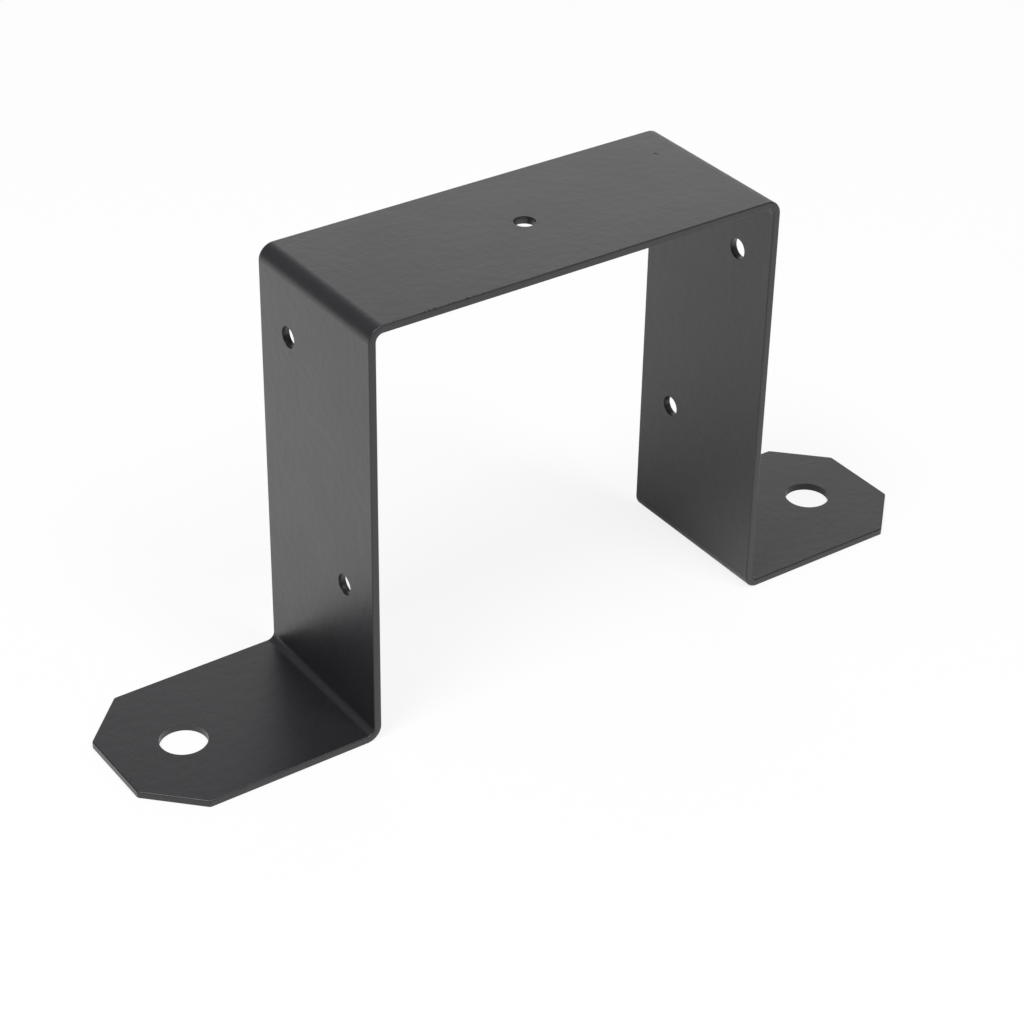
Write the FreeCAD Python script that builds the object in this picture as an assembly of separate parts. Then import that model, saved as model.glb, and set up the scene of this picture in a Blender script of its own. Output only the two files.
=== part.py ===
import FreeCAD, Part
import math
import os

# U bracket: one strip of coated steel sheet, folded four times.
# A top plate lies between two legs, and each leg ends in a foot that turns outwards.
# The origin is on the standing plane, midway between the legs and midway across the strip.
# +X runs along the length from foot to foot, +Y runs across the strip, +Z points up.
# All sizes are in millimetres.

# Sheet and strip
sheet_thickness = 1.6
strip_width = 38.1
overall_length = 185.42

# Clear space inside the U, from leg to leg and from the standing plane up to the top plate
inside_width = 90.0
inside_height = 88.9

# Bends, measured on the side that the sheet folds towards
top_bend_radius = 1.6
foot_bend_radius = 1.6

# Outer corners of the feet, each cut off at a slant with its tips eased
corner_cut_along = 10.0
corner_cut_across = 10.0
corner_tip_radius = 0.8

# Screw holes: one in the top plate and a staggered pair in each leg. The upper hole of a pair
# lies below the top face by the drop, and the lower one lies below the upper by the pitch.
top_hole_diameter = 4.3
leg_hole_diameter = 4.3
leg_hole_offset = 9.0
leg_hole_drop = 14.7
leg_hole_pitch = 45.0

# Bolt holes, one in each foot, measured from the foot's tip to the hole's centre
foot_hole_diameter = 9.5
foot_hole_from_tip = 14.9

# How far a cutting tool runs past the face that it cuts
overrun = 5.0

half_inside = inside_width / 2
half_length = overall_length / 2
half_width = strip_width / 2
half_outside = half_inside + sheet_thickness
overall_height = inside_height + sheet_thickness
upper_hole_height = overall_height - leg_hole_drop
lower_hole_height = upper_hole_height - leg_hole_pitch


def rounded_line(corners, radii):
    """Edges of an open line in the XZ plane, with a tangent arc at each inner corner."""
    points = [FreeCAD.Vector(x, 0, z) for x, z in corners]
    edges = []
    start = points[0]
    for before, corner, after, radius in zip(points, points[1:], points[2:], radii):
        way_in = (corner - before).normalize()
        way_out = (after - corner).normalize()
        turn = way_in.getAngle(way_out)
        reach = radius * math.tan(turn / 2)
        arc_start = corner - way_in * reach
        arc_end = corner + way_out * reach
        to_centre = (way_out - way_in).normalize()
        centre = corner + to_centre * (radius / math.cos(turn / 2))
        arc_middle = centre - to_centre * radius
        edges.append(Part.LineSegment(start, arc_start).toShape())
        edges.append(Part.Arc(arc_start, arc_middle, arc_end).toShape())
        start = arc_end
    edges.append(Part.LineSegment(start, points[-1]).toShape())
    return edges


def sheet_line(half_span, foot_level, top_level, foot_radius, top_radius):
    """One skin of the sheet, from the left foot's tip over the top plate to the right foot's tip."""
    corners = [
        (-half_length, foot_level),
        (-half_span, foot_level),
        (-half_span, top_level),
        (half_span, top_level),
        (half_span, foot_level),
        (half_length, foot_level),
    ]
    return rounded_line(corners, [foot_radius, top_radius, top_radius, foot_radius])


def folded_section():
    """The sheet seen from the front: its lower and upper skins, closed at both tips."""
    lower = sheet_line(
        half_inside, 0, inside_height,
        foot_bend_radius + sheet_thickness, top_bend_radius,
    )
    upper = sheet_line(
        half_outside, sheet_thickness, overall_height,
        foot_bend_radius, top_bend_radius + sheet_thickness,
    )
    tips = []
    for x in (-half_length, half_length):
        foot_bottom = FreeCAD.Vector(x, 0, 0)
        foot_top = FreeCAD.Vector(x, 0, sheet_thickness)
        tips.append(Part.LineSegment(foot_bottom, foot_top).toShape())
    edges = Part.sortEdges(lower + upper + tips)[0]
    return Part.Face(Part.Wire(edges))


def folded_strip():
    """The section drawn across the strip, a little wider than the strip is in the end."""
    section = folded_section()
    section.translate(FreeCAD.Vector(0, -half_width - overrun, 0))
    return section.extrude(FreeCAD.Vector(0, strip_width + 2 * overrun, 0))


def strip_outline():
    """The strip's outline seen from above, with the feet's corners cut, as an upright prism."""
    flat_end = half_width - corner_cut_across
    shoulder = half_length - corner_cut_along
    corners = [
        (-half_length, -flat_end),
        (-shoulder, -half_width),
        (shoulder, -half_width),
        (half_length, -flat_end),
        (half_length, flat_end),
        (shoulder, half_width),
        (-shoulder, half_width),
        (-half_length, flat_end),
    ]
    points = [FreeCAD.Vector(x, y, -overrun) for x, y in corners]
    outline = Part.Face(Part.makePolygon(points + points[:1]))
    prism = outline.extrude(FreeCAD.Vector(0, 0, overall_height + 2 * overrun))
    upright = [edge for edge in prism.Edges if abs(edge.tangentAt(edge.FirstParameter).z) > 0.5]
    return prism.makeFillet(corner_tip_radius, upright)


def drill(x, y, z, diameter, direction):
    """A round cutter that passes through one thickness of the sheet, centred on a point of it."""
    reach = sheet_thickness / 2 + overrun
    way = FreeCAD.Vector(*direction)
    start = FreeCAD.Vector(x, y, z) - way * reach
    return Part.makeCylinder(diameter / 2, 2 * reach, start, way)


def top_hole():
    """The screw hole in the middle of the top plate."""
    return [drill(0, 0, inside_height + sheet_thickness / 2, top_hole_diameter, (0, 0, 1))]


def leg_holes():
    """Two screw holes in each leg; the pairs are each other's half turn about the upright axis."""
    sheet_middle = half_inside + sheet_thickness / 2
    pair = ((-leg_hole_offset, upper_hole_height), (leg_hole_offset, lower_hole_height))
    cutters = []
    for side in (-1, 1):
        for offset, height in pair:
            cutters.append(
                drill(side * sheet_middle, side * offset, height, leg_hole_diameter, (1, 0, 0))
            )
    return cutters


def foot_holes():
    """One bolt hole in the middle of each foot."""
    from_middle = half_length - foot_hole_from_tip
    sheet_middle = sheet_thickness / 2
    return [
        drill(side * from_middle, 0, sheet_middle, foot_hole_diameter, (0, 0, 1))
        for side in (-1, 1)
    ]


def u_bracket():
    """The folded strip, trimmed to its outline and drilled."""
    body = folded_strip().common(strip_outline())
    body = body.cut(top_hole() + leg_holes() + foot_holes())
    return body.Solids[0]


os.makedirs("parts", exist_ok=True)
bracket = u_bracket()
bracket.exportStep("parts/u_bracket.step")

box = bracket.BoundBox
print("u_bracket:", len(bracket.Faces), "faces, valid", bracket.isValid())
print("size", round(box.XLength, 2), "x", round(box.YLength, 2), "x", round(box.ZLength, 2), "mm")
print("volume", round(bracket.Volume, 1), "mm3")
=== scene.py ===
# %% [markdown]
# # A folded steel U bracket in satin black powder coat
#
# The real object is a single strip of steel sheet. It is cut to an outline, drilled, folded four times
# on a press brake and powder coated. It has a top plate, two legs and two feet, and nothing on it moves.
# The lesson works on one skin of the sheet first: it folds the skin, cuts its corners and gives it the
# sheet's thickness. Then it eases the outline, drills the holes and bakes on the coat. A floor, a dim
# room and three soft lamps come last.

# %% Open the frame
import math

import bmesh
import bpy
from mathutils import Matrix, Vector


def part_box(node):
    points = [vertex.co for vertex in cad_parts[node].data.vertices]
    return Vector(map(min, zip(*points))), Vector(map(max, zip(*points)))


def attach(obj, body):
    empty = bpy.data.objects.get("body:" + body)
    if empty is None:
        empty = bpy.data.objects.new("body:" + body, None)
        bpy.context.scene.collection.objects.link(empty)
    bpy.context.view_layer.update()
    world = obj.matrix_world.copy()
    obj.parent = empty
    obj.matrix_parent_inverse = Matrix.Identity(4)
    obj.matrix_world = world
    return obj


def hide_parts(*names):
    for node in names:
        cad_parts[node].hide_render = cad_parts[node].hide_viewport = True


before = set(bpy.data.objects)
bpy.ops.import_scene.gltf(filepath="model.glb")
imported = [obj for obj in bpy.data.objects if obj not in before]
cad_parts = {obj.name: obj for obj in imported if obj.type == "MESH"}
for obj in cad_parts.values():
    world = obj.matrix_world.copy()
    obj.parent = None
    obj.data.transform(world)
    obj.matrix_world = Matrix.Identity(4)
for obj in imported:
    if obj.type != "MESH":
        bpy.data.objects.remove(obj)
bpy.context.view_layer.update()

bracket_low, bracket_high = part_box("u_bracket")
print("bracket box", [round(v, 4) for v in bracket_low], [round(v, 4) for v in bracket_high])

# %% [markdown]
# ## The camera
#
# The bracket is seen from its front left, about half a metre away and above its top plate. The place,
# turn and lens come from fitting the bracket's known straight edges to the photograph, so that the
# perspective agrees with no sideways shift of the frame.

# %% Camera
camera_place = (-0.25958, -0.36225, 0.31758)
camera_turn_degrees = (56.7434, -0.8861, -34.8688)
camera_lens = 93.353
camera_sensor = 36.0
camera_near_limit = 0.01

camera_data = bpy.data.cameras.new("camera")
camera_data.lens = camera_lens
camera_data.sensor_width = camera_sensor
camera_data.sensor_fit = "HORIZONTAL"
camera_data.clip_start = camera_near_limit
camera = bpy.data.objects.new("camera", camera_data)
camera.location = camera_place
camera.rotation_euler = [math.radians(angle) for angle in camera_turn_degrees]
bpy.context.scene.collection.objects.link(camera)
bpy.context.scene.camera = camera
print("camera stands", round(camera.location.length, 3), "m from the origin")

# %% [markdown]
# ## Sizes
#
# The frame's box gives the strip's width, overall length and overall height. The sheet's own sizes are
# the ones that the strip was drawn with, here in metres. Two places count as the same when they lie
# within a hundredth of a millimetre.

# %% Sizes
mm = 0.001
sheet = 1.6 * mm
half_width = bracket_high.y
half_length = bracket_high.x
top_level = bracket_high.z
half_outside = 46.6 * mm
inner_radius = 1.6 * mm
outer_radius = inner_radius + sheet
same_place = 0.01 * mm
print("legs stand", round(2 * (half_outside - sheet), 4), "m apart inside")

# %% [markdown]
# ## Helpers for modelling
#
# Every step below is the same three moves: select some edges or faces, run an operator on them, and go
# back to object mode. The selection is made by a test on place or direction, because places are known
# exactly here and mouse clicks aren't. A modifier is added with its settings and applied at once, so
# that the next step works on its result.

# %% Helpers for modelling
def deselect_all():
    """Leaves nothing selected, so that an operator acts only on what comes next."""
    for thing in bpy.context.selected_objects:
        thing.select_set(False)


def make_active(obj):
    """Selects one object alone."""
    deselect_all()
    obj.select_set(True)
    bpy.context.view_layer.objects.active = obj


def pick(obj, kind, wanted):
    """Enters edit mode on obj with only the parts of one kind selected that the test accepts."""
    make_active(obj)
    bpy.ops.object.mode_set(mode="EDIT")
    bpy.ops.mesh.select_mode(type=kind)
    bpy.ops.mesh.select_all(action="DESELECT")
    mesh = bmesh.from_edit_mesh(obj.data)
    parts = {"VERT": mesh.verts, "EDGE": mesh.edges, "FACE": mesh.faces}[kind]
    found = [part for part in parts if wanted(part)]
    for part in found:
        part.select_set(True)
    mesh.select_flush_mode()
    bmesh.update_edit_mesh(obj.data)
    return len(found)


def leave_edit():
    """Back to object mode."""
    bpy.ops.object.mode_set(mode="OBJECT")


def apply_modifier(obj, kind, **settings):
    """Adds a modifier with these settings and applies it."""
    make_active(obj)
    modifier = obj.modifiers.new(kind.lower(), kind)
    for name, value in settings.items():
        setattr(modifier, name, value)
    bpy.ops.object.modifier_apply(modifier=modifier.name)


deselect_all()
print("selected after the frame was loaded and cleared:", len(bpy.context.selected_objects))

# %% [markdown]
# ## The flat of the top plate
#
# The top plate could be a scaled cube, but a press brake starts from a flat strip, and so does this. A
# plane at the level of the upper skin, as long as the flat between the two top bends, is the start. It is
# added two metres wide, one each way from its middle, so that its scale is its half length and half width.

# %% Top plate
top_flat_end = half_outside - outer_radius
one_each_way = 2.0
bpy.ops.mesh.primitive_plane_add(size=one_each_way, location=(0, 0, top_level))
bracket = bpy.context.active_object
bracket.name = "folded_bracket"
bracket.scale = (top_flat_end, half_width, 1)
bpy.ops.object.transform_apply(location=True, rotation=True, scale=True)
print("top flat", [round(v, 4) for v in bracket.dimensions])

# %% [markdown]
# ## The four folds
#
# At each end the free edge is spun a quarter turn about the bend's own axis, drawn down as the leg, spun
# back for the lower bend, and drawn out as the foot. Spinning gives a true round bend, and the flats
# stay flat because nothing else touches them. A positive angle spins from +Z towards -X here.

# %% Fold one end, then the other
bend_steps = 12


def draw_on(end_x, end_z, operator, **settings):
    """Runs an operator on the strip's free edge, which runs along Y through the given place."""
    def free_end(edge):
        return edge.is_boundary and all(
            math.hypot(vertex.co.x - end_x, vertex.co.z - end_z) < same_place for vertex in edge.verts
        )
    count = pick(bracket, "EDGE", free_end)
    if count != 1:
        raise RuntimeError(f"{count} free edges at {end_x}, {end_z}")
    operator(**settings)
    leave_edit()


def fold_end(side):
    """Two bends, the leg between them and the foot, on one side."""
    quarter = -side * math.radians(90)
    draw_on(
        side * top_flat_end, top_level, bpy.ops.mesh.spin, steps=bend_steps, angle=quarter,
        axis=(0, 1, 0), center=(side * top_flat_end, 0, top_level - outer_radius),
    )
    leg_drop = top_level - outer_radius - sheet - inner_radius
    draw_on(
        side * half_outside, top_level - outer_radius, bpy.ops.mesh.extrude_region_move,
        TRANSFORM_OT_translate={"value": (0, 0, -leg_drop)},
    )
    foot_start = half_outside + inner_radius
    draw_on(
        side * half_outside, sheet + inner_radius, bpy.ops.mesh.spin, steps=bend_steps, angle=-quarter,
        axis=(0, 1, 0), center=(side * foot_start, 0, sheet + inner_radius),
    )
    draw_on(
        side * foot_start, sheet, bpy.ops.mesh.extrude_region_move,
        TRANSFORM_OT_translate={"value": (side * (half_length - foot_start), 0, 0)},
    )


for side in (-1, 1):
    fold_end(side)
print("skin", len(bracket.data.vertices), "vertices", [round(v, 4) for v in bracket.dimensions])

# %% [markdown]
# ## Cut corners
#
# The feet lose their outer corners to slanting cuts. Bisecting the skin with an upright plane and
# clearing what lies outside is the shears' own cut. Each tip that is left is then eased a little, as
# tumbling and the coat do on the real one. The offset of such a bevel runs along the edges, so it is the
# tip's radius times the tangent of half the turn.

# %% Cut and ease the corners of the feet
corner_cut = 10.0 * mm
corner_tip = 0.8 * mm
tip_turn = math.radians(45)
tip_steps = 4
round_profile = 0.5
shoulder_x = half_length - corner_cut
flat_end_y = half_width - corner_cut

for side in (-1, 1):
    for edge_side in (-1, 1):
        pick(bracket, "FACE", lambda face: True)
        bpy.ops.mesh.bisect(
            plane_co=(side * shoulder_x, edge_side * half_width, 0), plane_no=(side, edge_side, 0),
            clear_outer=True,
        )
        leave_edit()


def is_tip(vertex):
    """Where a slanting cut meets the foot's end or its side."""
    x, y = abs(vertex.co.x), abs(vertex.co.y)
    at_side = math.hypot(x - shoulder_x, y - half_width) < same_place
    at_end = math.hypot(x - half_length, y - flat_end_y) < same_place
    return at_side or at_end


tips = pick(bracket, "VERT", is_tip)
bpy.ops.mesh.bevel(
    affect="VERTICES", offset=corner_tip * math.tan(tip_turn / 2), segments=tip_steps,
    profile=round_profile,
)
leave_edit()
print("eased tips", tips)

# %% [markdown]
# ## Thickness
#
# The skin so far is the side that faces up and outwards. A Solidify modifier, applied at once, grows
# the sheet inwards from it by the sheet's thickness, so that the inside of each bend gets its own,
# smaller radius, just as in the real fold.

# %% Give the strip its thickness
inwards = -1.0

pick(bracket, "FACE", lambda face: True)
bpy.ops.mesh.normals_make_consistent(inside=False)
leave_edit()
faces_up = sum(polygon.normal.z * polygon.area for polygon in bracket.data.polygons) > 0
if not faces_up:
    bracket.data.flip_normals()
apply_modifier(bracket, "SOLIDIFY", thickness=sheet, offset=inwards, use_even_offset=True)
print("solid strip", len(bracket.data.polygons), "faces", [round(v, 5) for v in bracket.dimensions])

# %% [markdown]
# ## Eased outline
#
# Powder coat melts and pulls itself round every edge, so no edge of the real bracket is sharp. A narrow
# Bevel on all edges that turn sharply gives the thin bright and dark lines that show along the outline.
# The faces of the bends turn far less, so they stay as they are. The outline is eased before the holes
# are drilled, because the rims of the holes are crisper.

# %% Ease the outline
sharp_turn = math.radians(40)
outline_ease = 0.26 * mm
outline_steps = 3


def ease_sharp_edges(width, steps):
    """Rounds every edge of the bracket that turns sharply."""
    apply_modifier(
        bracket, "BEVEL", width=width, segments=steps, limit_method="ANGLE", angle_limit=sharp_turn,
        use_clamp_overlap=True,
    )


ease_sharp_edges(outline_ease, outline_steps)
print("eased strip", len(bracket.data.polygons), "faces")

# %% [markdown]
# ## Holes
#
# Seven holes: one small one in the top plate, a staggered pair in each leg, and a large one in each
# foot. Cutting round holes out of a flat by hand means spinning rings of vertices. A Boolean with plain
# round cutters does the same and leaves the flats flat.

# %% Drill the holes
screw_hole_radius = 2.15 * mm
bolt_hole_radius = 4.75 * mm
foot_hole_from_tip = 14.9 * mm
leg_hole_drop = 14.7 * mm
leg_hole_pitch = 45.0 * mm
leg_hole_y = 9.0 * mm
foot_hole_x = half_length - foot_hole_from_tip
upper_hole_z = top_level - leg_hole_drop
lower_hole_z = upper_hole_z - leg_hole_pitch
cutter_sides = 64
cutter_length = 4 * sheet


def add_cutter(place, radius, lies_along_x):
    """A round cutter that passes right through the sheet at a place."""
    deselect_all()
    turn = math.radians(90) if lies_along_x else 0
    bpy.ops.mesh.primitive_cylinder_add(
        vertices=cutter_sides, radius=radius, depth=cutter_length, location=place, rotation=(0, turn, 0),
    )
    return bpy.context.active_object


cutters = [add_cutter((0, 0, top_level - sheet / 2), screw_hole_radius, False)]
for side in (-1, 1):
    leg_x = side * (half_outside - sheet / 2)
    cutters.append(add_cutter((leg_x, -side * leg_hole_y, upper_hole_z), screw_hole_radius, True))
    cutters.append(add_cutter((leg_x, side * leg_hole_y, lower_hole_z), screw_hole_radius, True))
    cutters.append(add_cutter((side * foot_hole_x, 0, sheet / 2), bolt_hole_radius, False))

for cutter in cutters:
    apply_modifier(bracket, "BOOLEAN", object=cutter, operation="DIFFERENCE", solver="EXACT")
    bpy.data.objects.remove(cutter)
print("drilled strip", len(bracket.data.polygons), "faces")

# %% [markdown]
# ## Rims of the holes
#
# A punched hole keeps a crisper rim than the sheared outline. The same Bevel does it with a smaller
# width: each step of the eased outline is a gentle turn now, so only the rims of the holes are left for
# it. Smooth shading with weighted normals then keeps the large faces flat to the eye and rounds only
# the narrow strips between them. The weight is the highest that the modifier takes.

# %% Ease the rims and shade the strip
rim_ease = 0.05 * mm
rim_steps = 2
large_face_weight = 100

ease_sharp_edges(rim_ease, rim_steps)
make_active(bracket)
bpy.ops.object.shade_smooth()
apply_modifier(
    bracket, "WEIGHTED_NORMAL", mode="FACE_AREA", weight=large_face_weight, keep_sharp=True,
)
print("finished strip", len(bracket.data.polygons), "faces")

# %% [markdown]
# ## The powder coat
#
# The coat is a black thermoset powder that was sprayed on dry and baked until it flowed. Its pigment is
# nearly black, and most of what the eye sees is the gloss of the resin: a face seen at a slant looks
# lighter than one seen straight on. A grey paint would match one face and miss the others, so here the
# base colour is very dark and the gloss carries the look. One strong gloss rises too little towards the
# slant. Two weak ones, of the pigmented body and of the clear resin that flows out over it, rise as the
# real coat does, so the body has a low index of refraction and most of a clear coat lies on it. What is
# the same all over the bracket is set on the shader's own sockets. The clear coat's weight waits for the
# faults, which break it.

# %% Coat shader
def new_material(name):
    """A node material that holds only a Principled shader and its output."""
    material = bpy.data.materials.new(name)
    material.use_nodes = True
    tree = material.node_tree
    return material, tree.nodes, tree.links, tree.nodes["Principled BSDF"]


coat, coat_nodes, coat_links, coat_shader = new_material("satin_black_powder_coat")
coat_colour = (0.0132, 0.0128, 0.0158)
coat_roughness = 0.38
body_index = 1.33
clear_share = 0.8
coat_shader.inputs["IOR"].default_value = body_index
coat_shader.inputs["Coat Roughness"].default_value = coat_roughness
bracket.data.materials.clear()
bracket.data.materials.append(coat)
print("coat", coat.name, "on", len(bracket.data.materials), "slot")

# %% [markdown]
# ## Small helpers for the coat's nodes
#
# The coat's texture is built from a few kinds of node, used again and again: a noise over the bracket's
# own coordinates, a range that turns a noise into a useful number, and plain arithmetic. Object
# coordinates are in metres here, so one over a size in metres gives a noise with features of that size.
# The arithmetic works in whichever material its sockets belong to, so the floor and the room use it too.

# %% Helpers for the coat's nodes
place_on_bracket = coat_nodes.new("ShaderNodeTexCoord").outputs["Object"]


def add_noise(feature, detail):
    """A noise with features of about the given size."""
    noise = coat_nodes.new("ShaderNodeTexNoise")
    noise.inputs["Scale"].default_value = 1 / feature
    noise.inputs["Detail"].default_value = detail
    coat_links.new(place_on_bracket, noise.inputs["Vector"])
    return noise.outputs["Fac"]


def add_range(value, from_low, from_high, to_low, to_high):
    """Maps one range of a value onto another, smoothly at both ends."""
    node = coat_nodes.new("ShaderNodeMapRange")
    node.interpolation_type = "SMOOTHSTEP"
    sockets = ("From Min", "From Max", "To Min", "To Max")
    for socket, number in zip(sockets, (from_low, from_high, to_low, to_high)):
        node.inputs[socket].default_value = number
    coat_links.new(value, node.inputs["Value"])
    return node.outputs["Result"]


def add_math(operation, *values):
    """Arithmetic on sockets and plain numbers, in the node tree that the sockets belong to."""
    tree = next(value.id_data for value in values if not isinstance(value, float))
    node = tree.nodes.new("ShaderNodeMath")
    node.operation = operation
    for socket, value in zip(node.inputs, values):
        if isinstance(value, float):
            socket.default_value = value
        else:
            tree.links.new(value, socket)
    return node.outputs["Value"]


print("coordinates from", place_on_bracket.name)

# %% [markdown]
# ## Grain and orange peel
#
# Baked powder keeps two textures. The grains leave a fine tooth about half a millimetre across and a few
# thousandths of a millimetre high. The flow of the melt leaves a gentle orange peel, about two
# millimetres across and a few hundredths high. They are heights, so they go to a Bump node. The coat's
# thickness also drifts over a centimetre or so, which shifts the gloss and the tone a little.

# %% Grain, peel and drift
noise_low, noise_high = 0.3, 0.7
grain_size, peel_size, drift_size = 0.55 * mm, 2.2 * mm, 11.0 * mm
grain_rise, peel_rise = 0.006 * mm, 0.026 * mm
grain_gloss_swing, drift_gloss_swing = 0.02, 0.024
grain_tone_swing, drift_tone_swing = 0.1, 0.05
grain_detail, melt_detail = 1.0, 2.0

grain = add_noise(grain_size, grain_detail)
peel = add_noise(peel_size, melt_detail)
drift = add_noise(drift_size, melt_detail)


def swing(noise, middle, amount):
    """A noise turned into a number that swings by an amount about its middle."""
    return add_range(noise, noise_low, noise_high, middle - amount, middle + amount)


grain_height = add_range(grain, noise_low, noise_high, 0.0, grain_rise)
peel_height = add_range(peel, noise_low, noise_high, 0.0, peel_rise)
coat_height = add_math("ADD", grain_height, peel_height)
gloss_change = add_math("ADD", swing(grain, 0.0, grain_gloss_swing), swing(drift, 0.0, drift_gloss_swing))
coat_tone = add_math("MULTIPLY", swing(grain, 1.0, grain_tone_swing), swing(drift, 1.0, drift_tone_swing))
print("grain, peel and drift take", len(coat_nodes), "nodes")

# %% [markdown]
# ## Nicks and a speck
#
# The real coat has a few faults. Small chips sit on the top plate's front rim beside the left bend,
# where the bracket was knocked, and one dark speck of stray powder lies near the far end of the top
# plate. They are too shallow to model, so each is a round mask around its place on the bracket. All of
# them are duller and darker than the coat around them and have lost much of the clear resin, and the
# chips are also dents.

# %% Nicks and a speck
def add_spot(centre, radius, core):
    """A mask that is 1 out to its core, a share of the radius, and fades to 0 at the radius."""
    distance = coat_nodes.new("ShaderNodeVectorMath")
    distance.operation = "DISTANCE"
    coat_links.new(place_on_bracket, distance.inputs[0])
    distance.inputs[1].default_value = centre
    return add_range(distance.outputs["Value"], core * radius, radius, 1.0, 0.0)


chip_inset = 0.15 * mm
chip_y = chip_inset - half_width
chip_core = 0.3
chips = (
    (-34.7 * mm, 0.30 * mm), (-33.8 * mm, 0.38 * mm), (-32.6 * mm, 0.42 * mm), (-29.6 * mm, 0.30 * mm),
    (-28.7 * mm, 0.26 * mm), (-25.7 * mm, 0.45 * mm), (-24.2 * mm, 0.32 * mm), (-22.2 * mm, 0.28 * mm),
)
chip_mask = 0.0
for chip_x, chip_radius in chips:
    chip = add_spot((chip_x, chip_y, top_level), chip_radius, chip_core)
    chip_mask = add_math("MAXIMUM", chip, chip_mask)

speck_place = (38.4 * mm, 9.8 * mm, top_level)
speck_radius = 0.7 * mm
speck_core = 0.1
speck_mask = add_spot(speck_place, speck_radius, speck_core)
fault_mask = add_math("MAXIMUM", chip_mask, speck_mask)
print(len(chips), "chips on the rim and one speck")

# %% [markdown]
# ## Bring the coat together
#
# The parts so far are numbers that change over the surface. The height, which is in metres already,
# bends the light through one Bump node. The changes of gloss are added to the roughness, and the faults
# take away half of the clear coat's weight. The tone, darkened in the faults, scales the base colour.

# %% Wire the coat
chip_depth = 0.08 * mm
fault_roughness = 0.25
fault_darkening = 0.6
fault_clear_loss = 0.55
height_in_metres = 1.0

final_height = add_math("SUBTRACT", coat_height, add_math("MULTIPLY", chip_mask, chip_depth))
bump = coat_nodes.new("ShaderNodeBump")
bump.inputs["Distance"].default_value = height_in_metres
coat_links.new(final_height, bump.inputs["Height"])
coat_links.new(bump.outputs["Normal"], coat_shader.inputs["Normal"])

duller = add_math("ADD", gloss_change, add_math("MULTIPLY", fault_mask, fault_roughness))
coat_links.new(add_math("ADD", duller, coat_roughness), coat_shader.inputs["Roughness"])

lost_clear = add_math("MULTIPLY", fault_mask, clear_share * fault_clear_loss)
coat_links.new(add_math("SUBTRACT", clear_share, lost_clear), coat_shader.inputs["Coat Weight"])

kept_tone = add_math("SUBTRACT", 1.0, add_math("MULTIPLY", fault_mask, fault_darkening))
coloured = coat_nodes.new("ShaderNodeVectorMath")
coloured.operation = "SCALE"
coloured.inputs[0].default_value = coat_colour
coat_links.new(add_math("MULTIPLY", coat_tone, kept_tone), coloured.inputs["Scale"])
coat_links.new(coloured.outputs["Vector"], coat_shader.inputs["Base Color"])
print("coat has", len(coat_nodes), "nodes and", len(coat_links), "links")

# %% [markdown]
# ## The floor
#
# The bracket stands on a white sweep, as small products are often shown. A plain plane is enough for it,
# because this camera looks down on it and never sees its edge.

# %% Floor
floor_size = 6.0
floor_colour = (0.9, 0.9, 0.9, 1)
floor_roughness = 0.9

deselect_all()
bpy.ops.mesh.primitive_plane_add(size=floor_size, location=(0, 0, 0))
floor = bpy.context.active_object
floor.name = "floor"
sweep, sweep_nodes, sweep_links, sweep_shader = new_material("white_sweep")
sweep_shader.inputs["Base Color"].default_value = floor_colour
sweep_shader.inputs["Roughness"].default_value = floor_roughness
floor.data.materials.append(sweep)
print("floor", floor_size, "m wide")

# %% [markdown]
# ## White for the camera and the gloss
#
# A lit white floor alone would look grey beside pure white, and turning the lamps up would burn out the
# bracket. So what the camera sees is the lit floor mixed with plain white, by Is Camera Ray, which keeps
# a faint shadow. A small share of the same white, by Is Glossy Ray, lets the coat reflect the
# background that the camera sees.

# %% White for the camera and the gloss
white_for_camera = 0.85
white_for_gloss = 0.1
pure_white = (1, 1, 1, 1)

light_path = sweep_nodes.new("ShaderNodeLightPath")
camera_share = add_math("MULTIPLY", light_path.outputs["Is Camera Ray"], white_for_camera)
gloss_share = add_math("MULTIPLY", light_path.outputs["Is Glossy Ray"], white_for_gloss)
white_share = add_math("ADD", camera_share, gloss_share)

white = sweep_nodes.new("ShaderNodeEmission")
white.inputs["Color"].default_value = pure_white
mix = sweep_nodes.new("ShaderNodeMixShader")
sweep_links.new(white_share, mix.inputs["Fac"])
sweep_links.new(sweep_shader.outputs["BSDF"], mix.inputs[1])
sweep_links.new(white.outputs["Emission"], mix.inputs[2])
sweep_links.new(mix.outputs["Shader"], sweep_nodes["Material Output"].inputs["Surface"])
print("sweep has", len(sweep_nodes), "nodes")

# %% [markdown]
# ## The room's own light
#
# The room is plain white and dim: it fills the shadows. It stays dim because the outer side of each top
# bend mirrors the room above and behind it, and on the real bracket that band is dark. A camera that is
# low enough to see past the floor sees the room as pure white. Is Camera Ray is 1 for what the camera
# sees and 0 for all else, so the larger of it and the room's strength is the strength that is needed.

# %% World
room_strength = 0.24

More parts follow.
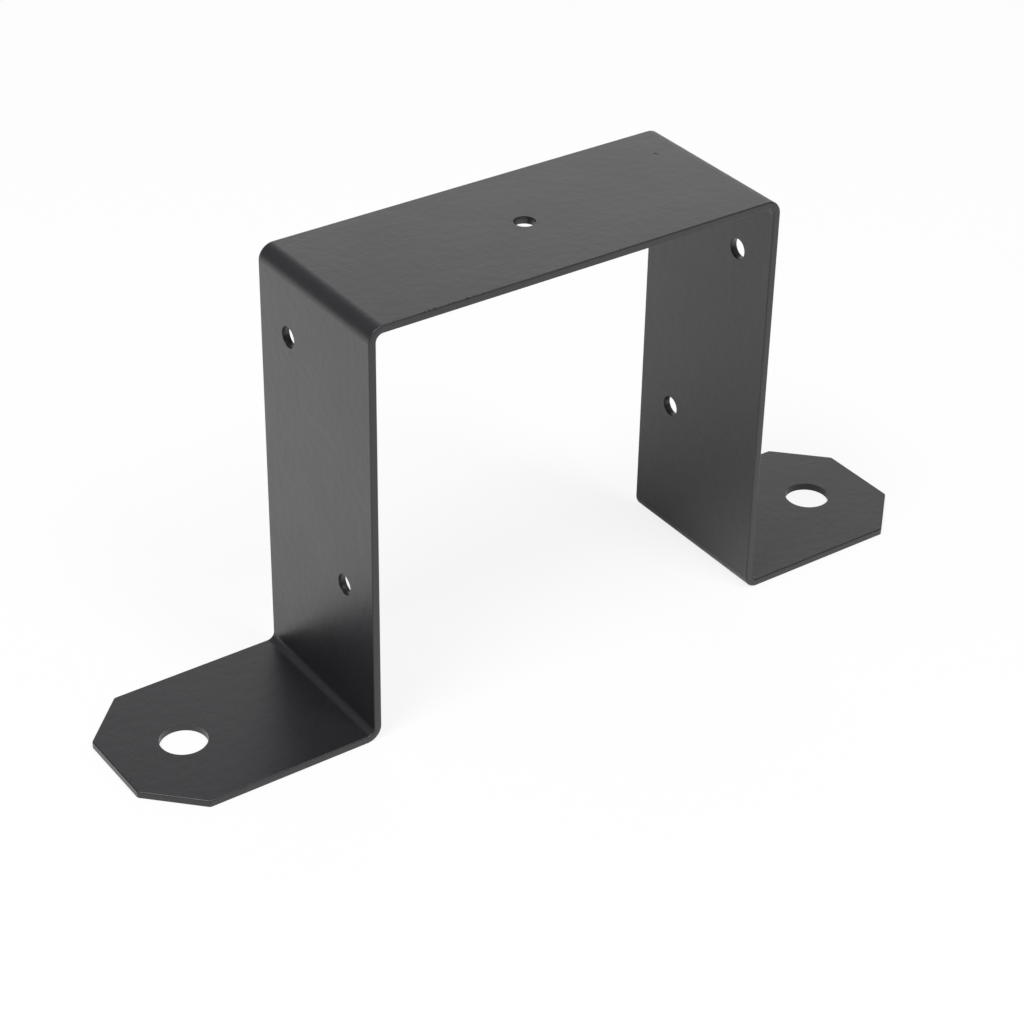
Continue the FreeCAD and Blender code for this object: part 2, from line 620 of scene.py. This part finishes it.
room = bpy.data.worlds.new("white_room")
bpy.context.scene.world = room
room.use_nodes = True
room_nodes, room_links = room.node_tree.nodes, room.node_tree.links
room_light = room_nodes["Background"]
room_light.inputs["Color"].default_value = pure_white

room_path = room_nodes.new("ShaderNodeLightPath")
seen_strength = add_math("MAXIMUM", room_path.outputs["Is Camera Ray"], room_strength)
room_links.new(seen_strength, room_light.inputs["Strength"])
bpy.context.scene.view_settings.view_transform = "Standard"
print("room strength", room_strength)

# %% [markdown]
# ## Three soft lamps
#
# A dark gloss shows what it mirrors. The key, high on the left, and the tall front lamp light the floor,
# which the legs mirror. The wide, low back lamp is what the top plate and the feet mirror, so it alone
# sets how light they look. Each is an area lamp aimed at the bracket's middle, placed by a compass
# angle from +X towards +Y and a height angle. A lamp lights a level white floor in proportion to the
# sine of its height angle and to one over its distance squared, and the sum stays near 1, so that
# colours render about as they are written.

# %% Lamps
lamp_distance = 2.0
aim = Vector((0, 0, top_level / 2))


def add_softbox(name, compass, height_angle, width, height, watts):
    """Adds an area lamp, with angles in degrees and sizes in metres, and returns its floor light."""
    around, up = math.radians(compass), math.radians(height_angle)
    way = Vector((math.cos(up) * math.cos(around), math.cos(up) * math.sin(around), math.sin(up)))
    data = bpy.data.lights.new(name, "AREA")
    data.shape = "RECTANGLE"
    data.size = width
    data.size_y = height
    data.energy = watts
    lamp = bpy.data.objects.new(name, data)
    bpy.context.scene.collection.objects.link(lamp)
    lamp.location = aim + way * lamp_distance
    lamp.rotation_euler = (-way).to_track_quat("-Z", "Y").to_euler()
    return watts * math.sin(up) / (math.pi * lamp_distance) ** 2


floor_light = room_strength
floor_light += add_softbox("key", compass=198, height_angle=60, width=0.6, height=0.6, watts=22)
floor_light += add_softbox("front", compass=284, height_angle=60, width=0.6, height=1.0, watts=18)
floor_light += add_softbox("back", compass=57, height_angle=23, width=1.5, height=0.8, watts=3.8)
print("a white floor renders at about", round(floor_light, 2))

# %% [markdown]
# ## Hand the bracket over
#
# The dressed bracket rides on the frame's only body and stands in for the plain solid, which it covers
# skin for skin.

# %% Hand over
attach(bracket, "root")
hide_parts("u_bracket")
